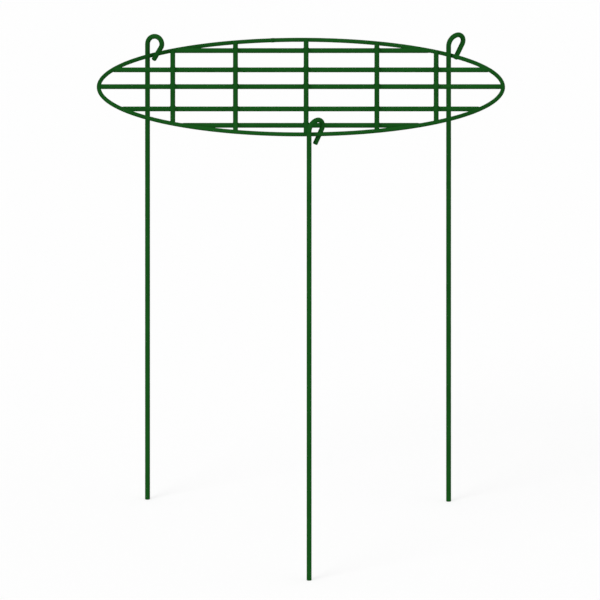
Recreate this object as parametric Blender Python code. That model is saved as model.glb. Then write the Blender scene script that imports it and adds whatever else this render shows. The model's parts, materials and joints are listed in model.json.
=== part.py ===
"""A round grid on three wire legs that holds a growing plant's stems apart.

Metres, +Z up. The feet stand on z = 0 and the ring is centred on the Z axis. -Y is the front.
Every wire is its own object. The legs are children of the ring and turn about its wire.
"""

import math

import bmesh
import bpy

# Ring
RING_OUTER_DIAMETER = 0.4064
RING_WIRE = 0.0042
RING_TOP_HEIGHT = 0.4572

# Grid wires: those across lie level with the middle of the ring's wire. Those from front to back lie
# on them, sunk in by WELD_SINK, and over END_DIP at each end they come down to the same level.
GRID_WIRE = 0.0050
WELD_SINK = 0.0015
END_DIP = 0.0200
CROSS_WIRE_Y = (0.1552, 0.0733, 0.0019, -0.0929, -0.1626)
DEPTH_WIRE_X = (-0.1275, -0.0651, 0.0052, 0.0756, 0.1346)

# Legs: each is one wire, bent at its top into a hook that snaps over the ring
LEG_WIRE = 0.0050
CROWN_RUN = 0.0116
SHOULDER_RISE = 0.0099
BEND_RUN = 0.0076
BEND_RISE = 0.0067
TAIL_ANGLE = math.radians(35.0)
SNAP = 0.0003
LEFT_LEG_ANGLE = math.radians(137.78)
RIGHT_LEG_ANGLE = math.radians(41.47)
FRONT_LEG_ANGLE = math.radians(-86.20)
SQUARE_TO_RING = math.radians(90.0)
FRONT_HOOK_TURN = math.radians(42.0)

# Clearances
WELD_GAP = 0.0003
SEAT_GAP = 0.00035
CAP_WELD = 0.00001

# Smoothness
RING_STEPS = 144
RING_SIDES = 16
WIRE_SIDES = 24
BEND_STEPS = 12
DIP_STEPS = 8
BEVEL_RESOLUTION = 6
SHARP_ANGLE = math.radians(40.0)

# Coating
GREEN = (0.0080, 0.0742, 0.0097, 1.0)
ROUGHNESS = 0.45
METALLIC = 0.0

ring_radius = (RING_OUTER_DIAMETER - RING_WIRE) / 2
ring_height = RING_TOP_HEIGHT - RING_WIRE / 2
grid_radius = ring_radius - RING_WIRE / 2 - WELD_GAP
layer_height = GRID_WIRE - WELD_SINK
trim_depth = 4 * GRID_WIRE


def clear_scene():
    for found in list(bpy.data.objects):
        bpy.data.objects.remove(found)


def new_collection(name):
    made = bpy.data.collections.new(name)
    bpy.context.scene.collection.children.link(made)
    return made


def coating(name):
    material = bpy.data.materials.new(name + "_coating")
    material.use_nodes = True
    shader = material.node_tree.nodes["Principled BSDF"]
    shader.inputs["Base Color"].default_value = GREEN
    shader.inputs["Roughness"].default_value = ROUGHNESS
    shader.inputs["Metallic"].default_value = METALLIC
    return material


def move_to(made, collection):
    for holder in list(made.users_collection):
        holder.objects.unlink(made)
    collection.objects.link(made)


def finish(made, name, parent):
    made.name = name
    made.data.name = name
    made.data.materials.append(coating(name))
    made.parent = parent
    move_to(made, parts)
    if made.type == "MESH":
        made.data.shade_smooth()
        made.data.set_sharp_from_angle(angle=SHARP_ANGLE)
    return made


def rod(length, diameter):
    bpy.ops.mesh.primitive_cylinder_add(
        vertices=WIRE_SIDES, radius=diameter / 2, depth=length
    )
    return bpy.context.object


def wire_curve(name, diameter, points):
    curve = bpy.data.curves.new(name, "CURVE")
    curve.dimensions = "3D"
    curve.bevel_depth = diameter / 2
    curve.bevel_resolution = BEVEL_RESOLUTION
    curve.use_fill_caps = True
    spline = curve.splines.new("POLY")
    spline.points.add(len(points) - 1)
    for point, place in zip(spline.points, points):
        point.co = (*place, 1.0)
    spline.use_smooth = True
    made = bpy.data.objects.new(name, curve)
    parts.objects.link(made)
    return made


# The same wire as one closed mesh, so that it can be cut
def mesh_of(made):
    graph = bpy.context.evaluated_depsgraph_get()
    mesh = bpy.data.meshes.new_from_object(made.evaluated_get(graph))
    welded = bmesh.new()
    welded.from_mesh(mesh)
    bmesh.ops.remove_doubles(welded, verts=welded.verts, dist=CAP_WELD)
    welded.to_mesh(mesh)
    welded.free()
    solid = bpy.data.objects.new(made.name, mesh)
    solid.matrix_world = made.matrix_world
    parts.objects.link(solid)
    bpy.data.objects.remove(made)
    return solid


def cutter(made, name, parent):
    made.name = name
    made.parent = parent
    made.hide_render = True
    made.display_type = "WIRE"
    move_to(made, cutters)
    return made


def cut(target, tool, operation):
    step = target.modifiers.new(tool.name, "BOOLEAN")
    step.operation = operation
    step.object = tool


# The ring, a torus whose origin is the middle of the grid
def make_ring():
    bpy.ops.mesh.primitive_torus_add(
        major_segments=RING_STEPS,
        minor_segments=RING_SIDES,
        major_radius=ring_radius,
        minor_radius=RING_WIRE / 2,
        location=(0.0, 0.0, ring_height),
    )
    return finish(bpy.context.object, "ring", None)


# The height above the ring's middle of a depth wire, a distance short of its end
def depth_wire_rise(short_of_end):
    part = min(max(short_of_end / END_DIP, 0.0), 1.0)
    return layer_height * part * part * (3 - 2 * part)


# A depth wire's centre line, which overruns the ring and is cut to length there
def depth_wire_points(x):
    end = math.sqrt(grid_radius**2 - x**2)
    half = [(end + RING_WIRE, 0.0)]
    for step in range(DIP_STEPS + 1):
        short = END_DIP * step / DIP_STEPS
        half.append((end - short, depth_wire_rise(short)))
    other = [(-y, z) for y, z in reversed(half)]
    return [(0.0, y, z) for y, z in half + other]


def make_grid(ring):
    bpy.ops.mesh.primitive_cylinder_add(
        vertices=RING_STEPS, radius=grid_radius, depth=trim_depth
    )
    trim = cutter(bpy.context.object, "grid_trim", ring)
    along_x = (0.0, math.pi / 2, 0.0)
    saddles = []
    for number, y in enumerate(CROSS_WIRE_Y, 1):
        wire = rod(RING_OUTER_DIAMETER, GRID_WIRE)
        saddle = rod(RING_OUTER_DIAMETER, GRID_WIRE + 2 * WELD_GAP)
        for made in (wire, saddle):
            made.rotation_euler = along_x
            made.location = (0.0, y, 0.0)
        cut(wire, trim, "INTERSECT")
        finish(wire, f"cross_wire_{number}", ring)
        saddles.append(cutter(saddle, f"saddle_{number}", ring))
    for number, x in enumerate(DEPTH_WIRE_X, 1):
        name = f"depth_wire_{number}"
        wire = mesh_of(wire_curve(name, GRID_WIRE, depth_wire_points(x)))
        wire.location = (x, 0.0, 0.0)
        cut(wire, trim, "INTERSECT")
        for saddle in saddles:
            cut(wire, saddle, "DIFFERENCE")
        finish(wire, name, ring)


# Where the ring's wire crosses the hook: out from the shaft's centre line, up from the tail's tip.
# There it rests on the shaft on one side and on the sloping tail on the other.
def ring_seat(turn):
    reach = ((RING_WIRE + LEG_WIRE) / 2 + SEAT_GAP) / math.sin(turn)
    tail_reach = reach * (1 + math.hypot(1, math.tan(TAIL_ANGLE) * math.sin(turn)))
    return reach, (tail_reach - tip_offset()) / math.tan(TAIL_ANGLE)


# The mouth between the shaft and the tail's end is narrower than the ring's wire by SNAP
def tip_offset():
    mouth = RING_WIRE - SNAP
    return LEG_WIRE / 2 + mouth + LEG_WIRE / 2 * math.cos(TAIL_ANGLE)


# The leg's centre line from foot to tip, in its own plane, from the shaft and the tip's level
def leg_points(foot_drop):
    slope = math.tan(TAIL_ANGLE)
    leave = math.atan(slope * BEND_RISE / BEND_RUN)
    tail_rise = (CROWN_RUN + BEND_RUN * math.cos(leave) - tip_offset()) / slope
    bend_level = tail_rise + BEND_RISE * math.sin(leave)
    shoulder = bend_level + BEND_RISE - SHOULDER_RISE
    points = [(0.0, -foot_drop)]
    for step in range(BEND_STEPS):
        angle = math.pi - math.pi / 2 * step / BEND_STEPS
        along = CROWN_RUN * (1 + math.cos(angle))
        points.append((along, shoulder + SHOULDER_RISE * math.sin(angle)))
    for step in range(BEND_STEPS + 1):
        angle = math.pi / 2 - (math.pi / 2 + leave) * step / BEND_STEPS
        along = CROWN_RUN + BEND_RUN * math.cos(angle)
        points.append((along, bend_level + BEND_RISE * math.sin(angle)))
    points.append((tip_offset(), 0.0))
    return points


# A leg's origin is on the ring's centre line, the axis that it folds about
def make_leg(name, angle, heading, turn, ring):
    reach, rise = ring_seat(turn)
    flat = leg_points(ring_height - rise)
    leg = wire_curve(name, LEG_WIRE, [(along - reach, 0.0, up - rise) for along, up in flat])
    leg.location = (ring_radius * math.cos(angle), ring_radius * math.sin(angle), 0.0)
    leg.rotation_euler = (0.0, 0.0, heading)
    finish(leg, name, ring)


clear_scene()
parts = new_collection("grid_plant_support")
cutters = new_collection("cutters")
the_ring = make_ring()
make_grid(the_ring)
make_leg("leg_left", LEFT_LEG_ANGLE, LEFT_LEG_ANGLE + math.pi, SQUARE_TO_RING, the_ring)
make_leg("leg_right", RIGHT_LEG_ANGLE, RIGHT_LEG_ANGLE, SQUARE_TO_RING, the_ring)
front_heading = FRONT_LEG_ANGLE + math.pi / 2 + FRONT_HOOK_TURN
make_leg("leg_front", FRONT_LEG_ANGLE, front_heading, FRONT_HOOK_TURN, the_ring)
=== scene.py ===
"""The looks of a grid plant support: coated steel wires with welded joints, on a pale floor.

Metres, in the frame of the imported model: +Z is up, and -Y is the front. Each wire is one piece that
stands for its own solid. It has the same centre line and thickness, with welds and cut ends on it.
"""

import json
import math

import bpy
import numpy as np
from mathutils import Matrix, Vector, noise


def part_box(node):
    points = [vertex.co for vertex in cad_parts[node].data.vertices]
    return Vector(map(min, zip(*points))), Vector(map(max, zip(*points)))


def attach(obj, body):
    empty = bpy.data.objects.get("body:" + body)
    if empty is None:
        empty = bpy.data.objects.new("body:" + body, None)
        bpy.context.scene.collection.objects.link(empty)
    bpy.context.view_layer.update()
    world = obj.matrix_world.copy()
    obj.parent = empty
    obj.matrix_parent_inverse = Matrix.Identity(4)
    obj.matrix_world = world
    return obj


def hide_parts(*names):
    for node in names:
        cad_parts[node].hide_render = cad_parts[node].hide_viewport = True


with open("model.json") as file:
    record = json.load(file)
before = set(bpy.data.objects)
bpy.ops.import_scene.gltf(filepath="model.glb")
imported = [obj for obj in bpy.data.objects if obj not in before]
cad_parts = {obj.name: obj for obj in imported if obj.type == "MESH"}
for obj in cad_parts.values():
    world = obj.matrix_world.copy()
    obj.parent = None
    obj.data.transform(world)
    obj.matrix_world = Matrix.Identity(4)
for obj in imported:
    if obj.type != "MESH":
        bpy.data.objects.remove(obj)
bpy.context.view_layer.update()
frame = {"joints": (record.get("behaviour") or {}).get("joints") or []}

# The photograph: an image of this many pixels, at this scale, with the ring's middle at this pixel.
# The ring shows as an ellipse, and its half height over its half width gives the view's elevation.
IMAGE_SIZE = 600
METRES_PER_PIXEL = 0.000995
RING_MIDDLE_PIXEL = (300.9, 87.1)
RING_HALF_WIDTH_PIXELS = 202.6
RING_HALF_HEIGHT_PIXELS = 47.4
CAMERA_DISTANCE = 2.0

# Wires, as the solids have them. The ring's and the grid's thickness is taken from their boxes. A depth
# wire is sunk into the cross wires by WELD_SINK, and over END_DIP at each end it comes down to their level.
WIRES_EACH_WAY = 5
LEG_WIRE_RADIUS = 0.0025
WELD_SINK = 0.0015
END_DIP = 0.0200
WELD_GAP = 0.0003

# A leg's hook: the crown and the outer bend are quarter ellipses, and the tail is straight. The mouth
# between the shaft and the tail's end is narrower than the ring's wire by SNAP. Both cut ends are rounded.
CROWN_RUN = 0.0116
SHOULDER_RISE = 0.0099
BEND_RUN = 0.0076
BEND_RISE = 0.0067
TAIL_ANGLE = math.radians(35.0)
SNAP = 0.0003
SEAT_GAP = 0.00035
CUT_END_ROUNDING = 0.00045

# Each hook's heading, from the direction that leads out of the ring, and its angle to the ring's wire
SQUARE_TO_RING = math.radians(90.0)
FRONT_HOOK_TURN = math.radians(42.0)
HOOKS = {
    "left": (math.pi, SQUARE_TO_RING),
    "right": (0.0, SQUARE_TO_RING),
    "front": (math.pi / 2 + FRONT_HOOK_TURN, FRONT_HOOK_TURN),
}

# Welds: each grid wire's end bites into the ring, and the metal between two wires is drawn out smoothly.
# Its thin edge lies BURIAL below the neighbour's surface, and what is deeper there than BURIED_DEPTH
# is cut off.
END_BITE = 0.0006
END_ROUNDING = 0.0006
WELD_BLEND = 0.0011
WELD_BLEND_CHANGE = 0.30
WELD_CHANGE_SCALE = 97.0
BURIAL = 0.00003
BURIED_DEPTH = 0.0012
BUTT_WELD_ANGLE = math.radians(98.0)
BUTT_WELD_RISE = 0.00022
BUTT_WELD_HALF_LENGTH = 0.0016

# Coating's thickness: shallow lumps, always below the wire's full radius
LUMP_DEPTH = 0.00005
LUMP_SCALE = 170.0
PIMPLE_DEPTH = 0.00002
PIMPLE_SCALE = 600.0

# Mesh density. The rays that look for a welded surface start at RAY_START of the wire's radius.
SIDES = 40
RING_STATIONS = 900
COARSE_STEP = 0.0020
FINE_STEP = 0.00040
FINE_REACH_AT_WELD = 0.0052
FINE_REACH_AT_END = 0.0080
CAP_ROWS = 30
BEND_STATIONS = 60
TAIL_STATIONS = 30
CORNER_STATIONS = 8
SMALLEST_STEP = 0.000001
RAY_START = 0.8
RAY_STEP = 0.00004
SMALLEST_RISE = 1e-9

# Coating's look. Colours are linear, scales are in cells per metre, and a noise's values that lie
# in its TAKEN range spread over the whole effect.
DEEP_GREEN = (0.0076, 0.0670, 0.0090, 1.0)
FRESH_GREEN = (0.0102, 0.0850, 0.0122, 1.0)
POOLED_GREEN = (0.0068, 0.0610, 0.0080, 1.0)
POOLED_SHARE = 0.7
BROAD_DETAIL = 3.0
FINE_DETAIL = 2.0
DRIFT_SCALE = 38.0
DRIFT_TAKEN = (0.30, 0.70)
SPECK_SCALE = 900.0
SPECK_TAKEN = (0.35, 0.75)
SPECK_SHARE = 0.60
ROUGHNESS_SCALE = 210.0
ROUGHNESS_TAKEN = (0.25, 0.75)
ROUGHNESS = (0.40, 0.56)
SWELL_SCALE = 330.0
SWELL_STRENGTH = 0.60
SWELL_DISTANCE = 0.00016
PEEL_SCALE = 1500.0
PEEL_STRENGTH = 0.70
PEEL_DISTANCE = 0.00009
SPECULAR_LEVEL = 0.0

# Floor, backdrop and light. The floor has one grey that light bounces off and one that the eye sees.
WHITE = 0.991
FLOOR_BOUNCE = 0.80
FLOOR_SEEN = 0.34
FLOOR_GLOW = 0.66
FLOOR_SIZE = 24.0
FLOOR_DROP = 0.00002
SKY_STRENGTH = 0.62
KEY_STRENGTH = 1.35
KEY_ANGLE = math.radians(24.0)
KEY_FROM = (-0.55, -0.75, 0.85)
FILL_STRENGTH = 0.45
FILL_ANGLE = math.radians(60.0)
FILL_FROM = (0.80, -0.40, 0.45)


# The middle of a solid's box and half its size, along one axis
def box_middle(node, axis):
    low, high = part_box(node)
    return (low[axis] + high[axis]) / 2


def half_size(node, axis):
    low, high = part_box(node)
    return (high[axis] - low[axis]) / 2


numbers = range(1, WIRES_EACH_WAY + 1)
cross_wire_y = [box_middle(f"cross_wire_{number}", 1) for number in numbers]
depth_wire_x = [box_middle(f"depth_wire_{number}", 0) for number in numbers]
ring_wire_radius = half_size("ring", 2)
grid_wire_radius = half_size("cross_wire_1", 2)
ring_radius = half_size("ring", 0) - ring_wire_radius
ring_height = box_middle("ring", 2)
layer_height = 2 * grid_wire_radius - WELD_SINK
grid_radius = ring_radius - ring_wire_radius - WELD_GAP
end_radius = grid_radius + WELD_GAP + END_BITE
mouth = 2 * ring_wire_radius - SNAP
tip_offset = LEG_WIRE_RADIUS + mouth + LEG_WIRE_RADIUS * math.cos(TAIL_ANGLE)
tail_slope = math.tan(TAIL_ANGLE)
elevation = math.asin(RING_HALF_HEIGHT_PIXELS / RING_HALF_WIDTH_PIXELS)
around = np.linspace(0.0, 2 * math.pi, SIDES, endpoint=False)


def add_camera():
    data = bpy.data.cameras.new("camera")
    data.type = "ORTHO"
    data.ortho_scale = IMAGE_SIZE * METRES_PER_PIXEL
    camera = bpy.data.objects.new("camera", data)
    bpy.context.scene.collection.objects.link(camera)
    right = Vector((1.0, 0.0, 0.0))
    up = Vector((0.0, math.sin(elevation), math.cos(elevation)))
    back = Vector((0.0, -math.cos(elevation), math.sin(elevation)))
    across = (RING_MIDDLE_PIXEL[0] - IMAGE_SIZE / 2) * METRES_PER_PIXEL
    above = (IMAGE_SIZE / 2 - RING_MIDDLE_PIXEL[1]) * METRES_PER_PIXEL
    aim = Vector((0.0, 0.0, ring_height)) - right * across - up * above
    camera.location = aim + back * CAMERA_DISTANCE
    camera.rotation_euler = (math.pi / 2 - elevation, 0.0, 0.0)
    bpy.context.scene.camera = camera


# Materials
def new_material(name):
    material = bpy.data.materials.new(name)
    material.use_nodes = True
    return material, material.node_tree, material.node_tree.nodes["Principled BSDF"]


def noise_node(tree, vector, scale, detail):
    node = tree.nodes.new("ShaderNodeTexNoise")
    node.inputs["Scale"].default_value = scale
    node.inputs["Detail"].default_value = detail
    tree.links.new(vector, node.inputs["Vector"])
    return node.outputs["Fac"]


def mix_colours(tree, factor, first, second):
    node = tree.nodes.new("ShaderNodeMix")
    node.data_type = "RGBA"
    tree.links.new(factor, node.inputs["Factor"])
    for socket, value in ((node.inputs["A"], first), (node.inputs["B"], second)):
        if isinstance(value, tuple):
            socket.default_value = value
        else:
            tree.links.new(value, socket)
    return node.outputs["Result"]


def stretched(tree, value, taken, given):
    node = tree.nodes.new("ShaderNodeMapRange")
    for name, end in zip(("From Min", "From Max", "To Min", "To Max"), (*taken, *given)):
        node.inputs[name].default_value = end
    tree.links.new(value, node.inputs["Value"])
    return node.outputs["Result"]


def bump_node(tree, height, strength, distance, normal=None):
    node = tree.nodes.new("ShaderNodeBump")
    node.inputs["Strength"].default_value = strength
    node.inputs["Distance"].default_value = distance
    tree.links.new(height, node.inputs["Height"])
    if normal:
        tree.links.new(normal, node.inputs["Normal"])
    return node.outputs["Normal"]


# Green coating: broad drifts of shade, specks, and a deeper green where it pooled at the welds
def coating_colour(tree, vector):
    drift = noise_node(tree, vector, DRIFT_SCALE, BROAD_DETAIL)
    drift = stretched(tree, drift, DRIFT_TAKEN, (0.0, 1.0))
    speck = noise_node(tree, vector, SPECK_SCALE, FINE_DETAIL)
    speck = stretched(tree, speck, SPECK_TAKEN, (0.0, SPECK_SHARE))
    weld = tree.nodes.new("ShaderNodeAttribute")
    weld.attribute_name = "weld"
    pooled = stretched(tree, weld.outputs["Fac"], (0.0, 1.0), (0.0, POOLED_SHARE))
    colour = mix_colours(tree, drift, DEEP_GREEN, FRESH_GREEN)
    colour = mix_colours(tree, speck, colour, FRESH_GREEN)
    return mix_colours(tree, pooled, colour, POOLED_GREEN)


# Its surface: a soft swell with fine orange peel on it
def coating_normal(tree, vector):
    swell = noise_node(tree, vector, SWELL_SCALE, FINE_DETAIL)
    peel = noise_node(tree, vector, PEEL_SCALE, FINE_DETAIL)
    normal = bump_node(tree, swell, SWELL_STRENGTH, SWELL_DISTANCE)
    return bump_node(tree, peel, PEEL_STRENGTH, PEEL_DISTANCE, normal)


def coating(name):
    material, tree, shader = new_material(name)
    vector = tree.nodes.new("ShaderNodeTexCoord").outputs["Object"]
    roughness = noise_node(tree, vector, ROUGHNESS_SCALE, BROAD_DETAIL)
    roughness = stretched(tree, roughness, ROUGHNESS_TAKEN, ROUGHNESS)
    tree.links.new(coating_colour(tree, vector), shader.inputs["Base Color"])
    tree.links.new(roughness, shader.inputs["Roughness"])
    tree.links.new(coating_normal(tree, vector), shader.inputs["Normal"])
    shader.inputs["Specular IOR Level"].default_value = SPECULAR_LEVEL
    return material


# Is the ray one that sees the background: from the camera, off gloss or through glass?
def seen_by_eye(tree):
    path = tree.nodes.new("ShaderNodeLightPath")
    seen = path.outputs["Is Camera Ray"]
    for name in ("Is Glossy Ray", "Is Transmission Ray"):
        node = tree.nodes.new("ShaderNodeMath")
        node.operation = "MAXIMUM"
        tree.links.new(seen, node.inputs[0])
        tree.links.new(path.outputs[name], node.inputs[1])
        seen = node.outputs["Value"]
    return seen


def add_world():
    world = bpy.data.worlds.new("world")
    world.use_nodes = True
    bpy.context.scene.world = world
    tree = world.node_tree
    sky = tree.nodes["Background"]
    sky.inputs["Color"].default_value = (1.0, 1.0, 1.0, 1.0)
    sky.inputs["Strength"].default_value = SKY_STRENGTH
    backdrop = tree.nodes.new("ShaderNodeBackground")
    backdrop.inputs["Color"].default_value = (WHITE, WHITE, WHITE, 1.0)
    mix = tree.nodes.new("ShaderNodeMixShader")
    tree.links.new(seen_by_eye(tree), mix.inputs["Fac"])
    tree.links.new(sky.outputs["Background"], mix.inputs[1])
    tree.links.new(backdrop.outputs["Background"], mix.inputs[2])
    tree.links.new(mix.outputs["Shader"], tree.nodes["World Output"].inputs["Surface"])


# A pale floor that glows for the eye alone, so that it is as white as the backdrop and keeps its shadows
def add_floor():
    half = FLOOR_SIZE / 2
    corners = [(-half, -half), (half, -half), (half, half), (-half, half)]
    mesh = bpy.data.meshes.new("floor")
    mesh.from_pydata([(x, y, -FLOOR_DROP) for x, y in corners], [], [(0, 1, 2, 3)])
    floor = bpy.data.objects.new("floor", mesh)
    bpy.context.scene.collection.objects.link(floor)
    material, tree, shader = new_material("floor")
    seen = seen_by_eye(tree)
    bounce = (FLOOR_BOUNCE, FLOOR_BOUNCE, FLOOR_BOUNCE, 1.0)
    shown = (FLOOR_SEEN, FLOOR_SEEN, FLOOR_SEEN, 1.0)
    glow = stretched(tree, seen, (0.0, 1.0), (0.0, FLOOR_GLOW))
    tree.links.new(mix_colours(tree, seen, bounce, shown), shader.inputs["Base Color"])
    tree.links.new(glow, shader.inputs["Emission Strength"])
    shader.inputs["Emission Color"].default_value = (1.0, 1.0, 1.0, 1.0)
    shader.inputs["Specular IOR Level"].default_value = 0.0
    shader.inputs["Roughness"].default_value = 1.0
    mesh.materials.append(material)


def add_sun(name, come_from, strength, angle):
    data = bpy.data.lights.new(name, "SUN")
    data.energy = strength
    data.angle = angle
    lamp = bpy.data.objects.new(name, data)
    lamp.rotation_euler = Vector(come_from).to_track_quat("Z", "Y").to_euler()
    bpy.context.scene.collection.objects.link(lamp)


# How far the coating's surface lies below the wire's full radius
def ripple(points):
    depths = []
    for point in points.reshape(-1, 3):
        lump = noise.noise(Vector(point) * LUMP_SCALE)
        pimple = noise.noise(Vector(point) * PIMPLE_SCALE)
        depths.append(LUMP_DEPTH * (lump + 1) / 2 + PIMPLE_DEPTH * (pimple + 1) / 2)
    return np.array(depths).reshape(points.shape[:-1])


# A mesh of rows of points round a centre line, joined by quads. A closed wire's last row meets its
# first, and an open one is closed by a fan of triangles at each end, given as its middle point.
def rows_to_mesh(name, rows, weld, ends=()):
    count, sides = rows.shape[:2]
    faces = []
    for row in range(count - 1 if ends else count):
        here = row * sides
        after = (row + 1) % count * sides
        for side in range(sides):
            beside = (side + 1) % sides
            faces.append((here + side, here + beside, after + beside, after + side))
    vertices = rows.reshape(-1, 3).tolist()
    shares = weld.reshape(-1).tolist()
    for end, centre in enumerate(ends):
        row = end * (count - 1) * sides
        for side in range(sides):
            pair = (row + side, row + (side + 1) % sides)
            faces.append((*pair, len(vertices)) if end else (*pair[::-1], len(vertices)))
        vertices.append(tuple(centre))
        shares.append(0.0)
    mesh = bpy.data.meshes.new(name)
    mesh.from_pydata(vertices, [], faces)
    attribute = mesh.attributes.new("weld", "FLOAT", "POINT")
    attribute.data.foreach_set("value", np.array(shares, np.float32))
    mesh.shade_smooth()
    made = bpy.data.objects.new(name, mesh)
    bpy.context.scene.collection.objects.link(made)
    return made


# Gives a piece the material of its kind, parents it to what it rides on, and hides the solid that it stands
# for
def dress(made, node, body, kind):
    made.data.materials.append(coatings[kind])
    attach(made, body)
    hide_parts(node)


# Distances to the surfaces of neighbouring wires, at many points at once
def to_ring(points):
    out = np.hypot(points[..., 0], points[..., 1]) - ring_radius
    return np.hypot(out, points[..., 2] - ring_height) - ring_wire_radius


def to_cross_wire(points, y):
    return np.hypot(points[..., 1] - y, points[..., 2] - ring_height) - grid_wire_radius


# The height of a grid wire's centre line, by the place along it and the wire's own offset
def cross_wire_height(x, y):
    return np.full_like(x, ring_height)


def depth_wire_height(y, x):
    short_of_end = math.sqrt(grid_radius**2 - x**2) - np.abs(y)
    part = np.clip(short_of_end / END_DIP, 0.0, 1.0)
    return ring_height + layer_height * part * part * (3 - 2 * part)


# Two surfaces drawn together smoothly within a distance
def blended(first, second, reach):
    share = np.clip(1 - np.abs(first - second) / reach, 0.0, 1.0)
    return np.minimum(first, second) - share * share * reach / 4


# The signed distance to a grid wire with rounded ends, before any weld
def to_grid_wire(points, axis, offset, height):
    along, beside = points[..., axis], points[..., 1 - axis]
    side = np.hypot(beside - offset, points[..., 2] - height(along, offset)) - grid_wire_radius
    end = np.hypot(points[..., 0], points[..., 1]) - end_radius
    side, end = side + END_ROUNDING, end + END_ROUNDING
    outside = np.hypot(np.maximum(side, 0.0), np.maximum(end, 0.0))
    return np.minimum(np.maximum(side, end), 0.0) + outside - END_ROUNDING


# Each weld draws its metal out a little further or less far than the next
def weld_reach(along, offset):
    change = noise.noise(Vector((along, offset, 0.0)) * WELD_CHANGE_SCALE)
    return WELD_BLEND * (1 + WELD_BLEND_CHANGE * change)


# The wires that a grid wire is welded to: how to measure to each, and how far its weld reaches
def neighbours_of(offset, crossings):
    found = [(to_ring, weld_reach(math.sqrt(end_radius**2 - offset**2), offset))]
    for place in crossings:
        if math.hypot(place, offset) < grid_radius:
            found.append((lambda points, y=place: to_cross_wire(points, y), weld_reach(place, offset)))
    return found


# Rays from points along a grid wire's centre line, each row tilted towards the wire's end
def rays(places, tilt, axis, offset, height):
    origins = np.zeros((len(places), SIDES, 3))
    origins[..., axis] = places[:, None]
    origins[..., 1 - axis] = offset
    origins[..., 2] = height(places, offset)[:, None]
    turn = 1 if axis == 0 else -1
    directions = np.zeros((len(places), SIDES, 3))
    directions[..., axis] = np.sin(tilt)[:, None]
    directions[..., 1 - axis] = np.cos(around) * np.cos(tilt)[:, None]
    directions[..., 2] = turn * np.sin(around) * np.cos(tilt)[:, None]
    return origins, directions


# Follows each ray to the wire's welded surface: the point there, and the weld's share in it
def cast(origins, directions, reach, axis, offset, height, neighbours):
    lengths = np.arange(grid_wire_radius * RAY_START, reach, RAY_STEP)
    points = origins[None] + directions[None] * lengths[:, None, None, None]
    merged = to_grid_wire(points, axis, offset, height)
    drawn = np.zeros_like(merged)
    deep = np.full_like(merged, -np.inf)
    for distance, blend in neighbours:
        gap = distance(points) + BURIAL
        apart = np.minimum(merged, gap)
        merged = blended(merged, gap, blend)
        drawn = np.maximum(drawn, apart - merged)
        deep = np.maximum(deep, -BURIED_DEPTH - gap)
    level = np.maximum(merged, deep)
    crossed = level >= 0
    first = np.where(crossed.any(0), crossed.argmax(0), len(lengths) - 1)
    before = np.maximum(first - 1, 0)
    row, side = np.indices(first.shape)
    here = level[first, row, side]
    back = level[before, row, side]
    share = np.where(first > 0, np.clip(-back / np.maximum(here - back, SMALLEST_RISE), 0.0, 1.0), 0.0)
    found = lengths[before] + (lengths[first] - lengths[before]) * share
    surface = origins + directions * found[..., None]
    surface -= directions * ripple(surface)[..., None]
    return surface, np.clip(drawn[first, row, side] / (WELD_BLEND / 4), 0.0, 1.0)


# Stations along a grid wire, close together where it is welded
def stations(half_length, welds):
    places = list(np.arange(-half_length, half_length, COARSE_STEP)) + [half_length]
    for weld in welds:
        places += list(np.arange(weld - FINE_REACH_AT_WELD, weld + FINE_REACH_AT_WELD, FINE_STEP))
    for end in (-half_length, half_length):
        inward = end - math.copysign(FINE_REACH_AT_END, end)
        places += list(np.arange(min(end, inward), max(end, inward), FINE_STEP))
    kept = []
    for place in sorted(p for p in places if abs(p) <= half_length):
        if not kept or place - kept[-1] > FINE_STEP / 2:
            kept.append(place)
    return np.array(kept)


# A straight stretch of square rows, and at each end rows that tilt over until they face along the wire
def make_grid_wire(name, axis, offset, height, crossings):
    far_side = abs(offset) + grid_wire_radius
    near_side = abs(offset) - grid_wire_radius
    half_length = math.sqrt(end_radius**2 - far_side**2) - END_ROUNDING
    longest = math.sqrt(end_radius**2 - near_side**2)
    along = stations(half_length, [place for place in crossings if abs(place) < half_length])
    tilts = np.linspace(0.0, math.pi / 2, CAP_ROWS + 1)[1:-1]
    side_reach = grid_wire_radius + WELD_BLEND
    cap_reach = longest - half_length + side_reach
    neighbours = neighbours_of(offset, crossings)
    parts = []
    for places, tilt, reach in (
        (np.full(len(tilts), -half_length), -tilts[::-1], cap_reach),
        (along, np.zeros(len(along)), side_reach),
        (np.full(len(tilts), half_length), tilts, cap_reach),
    ):
        origins, directions = rays(places, tilt, axis, offset, height)
        parts.append(cast(origins, directions, reach, axis, offset, height, neighbours))
    rows = np.concatenate([surface for surface, weld in parts])
    weld = np.concatenate([weld for surface, weld in parts])
    return rows_to_mesh(name, rows, weld, (rows[0].mean(0), rows[-1].mean(0)))


# The ring, with a low bead where its wire's two ends were butted together
def make_ring(name):
    turn = np.linspace(2 * math.pi, 0.0, RING_STATIONS, endpoint=False)[:, None]
    from_weld = (turn - BUTT_WELD_ANGLE + math.pi) % (2 * math.pi) - math.pi
    bead = BUTT_WELD_RISE * np.exp(-((from_weld * ring_radius / BUTT_WELD_HALF_LENGTH) ** 2))
    out = np.cos(around)[None]
    up = np.sin(around)[None]

    def surface(thickness):
        reach = ring_radius + thickness * out
        return np.stack([reach * np.cos(turn), reach * np.sin(turn), ring_height + thickness * up], -1)

    plain = surface(np.full((RING_STATIONS, SIDES), ring_wire_radius))
    rows = surface(ring_wire_radius + bead - ripple(plain))
    return rows_to_mesh(name, rows, np.repeat(bead / BUTT_WELD_RISE, SIDES, 1))


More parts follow.
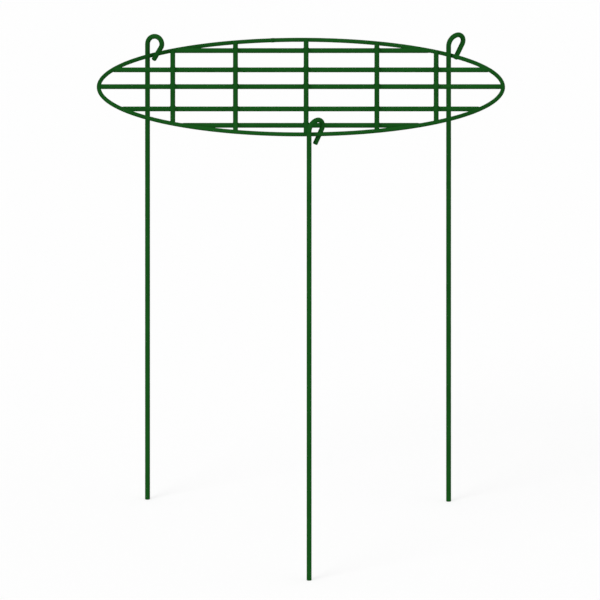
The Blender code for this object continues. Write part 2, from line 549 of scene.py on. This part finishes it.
# Where the ring's wire crosses a hook: out from the shaft and up from the tip
def ring_seat(turn):
    reach = (ring_wire_radius + LEG_WIRE_RADIUS + SEAT_GAP) / math.sin(turn)
    tail_reach = reach * (1 + math.hypot(1, tail_slope * math.sin(turn)))
    return reach, (tail_reach - tip_offset) / tail_slope


# A leg's centre line from foot to tip, in the hook's own plane
def leg_line(foot_drop):
    leave = math.atan(tail_slope * BEND_RISE / BEND_RUN)
    tail_rise = (CROWN_RUN + BEND_RUN * math.cos(leave) - tip_offset) / tail_slope
    bend_level = tail_rise + BEND_RISE * math.sin(leave)
    shoulder = bend_level + BEND_RISE - SHOULDER_RISE
    shaft = np.append(np.arange(-foot_drop + CUT_END_ROUNDING, shoulder, COARSE_STEP), shoulder)
    points = [(0.0, -foot_drop)] + [(0.0, up) for up in shaft]
    for angle in np.linspace(math.pi, math.pi / 2, BEND_STATIONS)[1:]:
        points.append((CROWN_RUN * (1 + math.cos(angle)), shoulder + SHOULDER_RISE * math.sin(angle)))
    for angle in np.linspace(math.pi / 2, -leave, BEND_STATIONS)[1:]:
        points.append((CROWN_RUN + BEND_RUN * math.cos(angle), bend_level + BEND_RISE * math.sin(angle)))
    start, tip = np.array(points[-1]), np.array((tip_offset, 0.0))
    for share in np.linspace(0.0, 1.0, TAIL_STATIONS)[1:]:
        points.append(tuple(start + (tip - start) * share))
    return np.array(points)


# A round wire along a flat line, with its two cut ends a little rounded, and its centre line
def leg_rows(line, origin, heading):
    steps = np.diff(line, axis=0)
    run = np.concatenate([[0.0], np.cumsum(np.hypot(steps[:, 0], steps[:, 1]))])
    corner = CUT_END_ROUNDING * (1 - np.cos(np.linspace(0.0, math.pi / 2, CORNER_STATIONS)))
    inner = run[(run > CUT_END_ROUNDING) & (run < run[-1] - CUT_END_ROUNDING)]
    places = np.concatenate([corner, inner, run[-1] - corner[::-1]])
    places = places[np.append(True, np.diff(places) > SMALLEST_STEP)]
    flat = np.stack([np.interp(places, run, line[:, 0]), np.interp(places, run, line[:, 1])], -1)
    ahead = np.gradient(flat, places, axis=0)
    ahead /= np.hypot(ahead[:, 0], ahead[:, 1])[:, None]
    short = np.minimum(places, run[-1] - places)
    inset = CUT_END_ROUNDING - np.minimum(short, CUT_END_ROUNDING)
    radius = LEG_WIRE_RADIUS - CUT_END_ROUNDING + np.sqrt(CUT_END_ROUNDING**2 - inset**2)
    in_plane = np.array([math.cos(heading), math.sin(heading), 0.0])
    upright = np.array([0.0, 0.0, 1.0])
    across = np.cross(upright, in_plane)
    centre = np.array(origin) + flat[:, :1] * in_plane + flat[:, 1:] * upright
    inward = ahead[:, 1:] * in_plane - ahead[:, :1] * upright
    directions = inward[:, None] * np.cos(around)[None, :, None]
    directions = directions + across[None, None] * np.sin(around)[None, :, None]
    full = centre[:, None] + directions * radius[:, None, None]
    share = np.clip(short / CUT_END_ROUNDING, 0.0, 1.0)[:, None]
    return full - directions * (ripple(full) * share)[..., None], centre


def make_leg(name, joint, hook):
    from_outward, turn = hook
    x, y, _ = joint["pos_m"]
    reach, rise = ring_seat(turn)
    line = leg_line(ring_height - rise) - np.array((reach, rise))
    rows, centre = leg_rows(line, joint["pos_m"], math.atan2(y, x) + from_outward)
    return rows_to_mesh(name, rows, np.zeros(rows.shape[:2]), (centre[0], centre[-1]))


add_camera()
add_world()
add_floor()
add_sun("key", KEY_FROM, KEY_STRENGTH, KEY_ANGLE)
add_sun("fill", FILL_FROM, FILL_STRENGTH, FILL_ANGLE)

coatings = {kind: coating(f"{kind}_green") for kind in ("ring", "cross_wire", "depth_wire", "leg")}
joints = {joint["child"]: joint for joint in frame["joints"]}

dress(make_ring("coated_ring"), "ring", "grid", "ring")
for number, y in zip(numbers, cross_wire_y):
    wire = make_grid_wire(f"coated_cross_wire_{number}", 0, y, cross_wire_height, [])
    dress(wire, f"cross_wire_{number}", "grid", "cross_wire")
for number, x in zip(numbers, depth_wire_x):
    wire = make_grid_wire(f"coated_depth_wire_{number}", 1, x, depth_wire_height, cross_wire_y)
    dress(wire, f"depth_wire_{number}", "grid", "depth_wire")
for side, hook in HOOKS.items():
    leg = make_leg(f"coated_leg_{side}", joints[f"{side}_leg"], hook)
    dress(leg, f"leg_{side}", f"{side}_leg", "leg")

bpy.context.scene.view_settings.view_transform = "Standard"
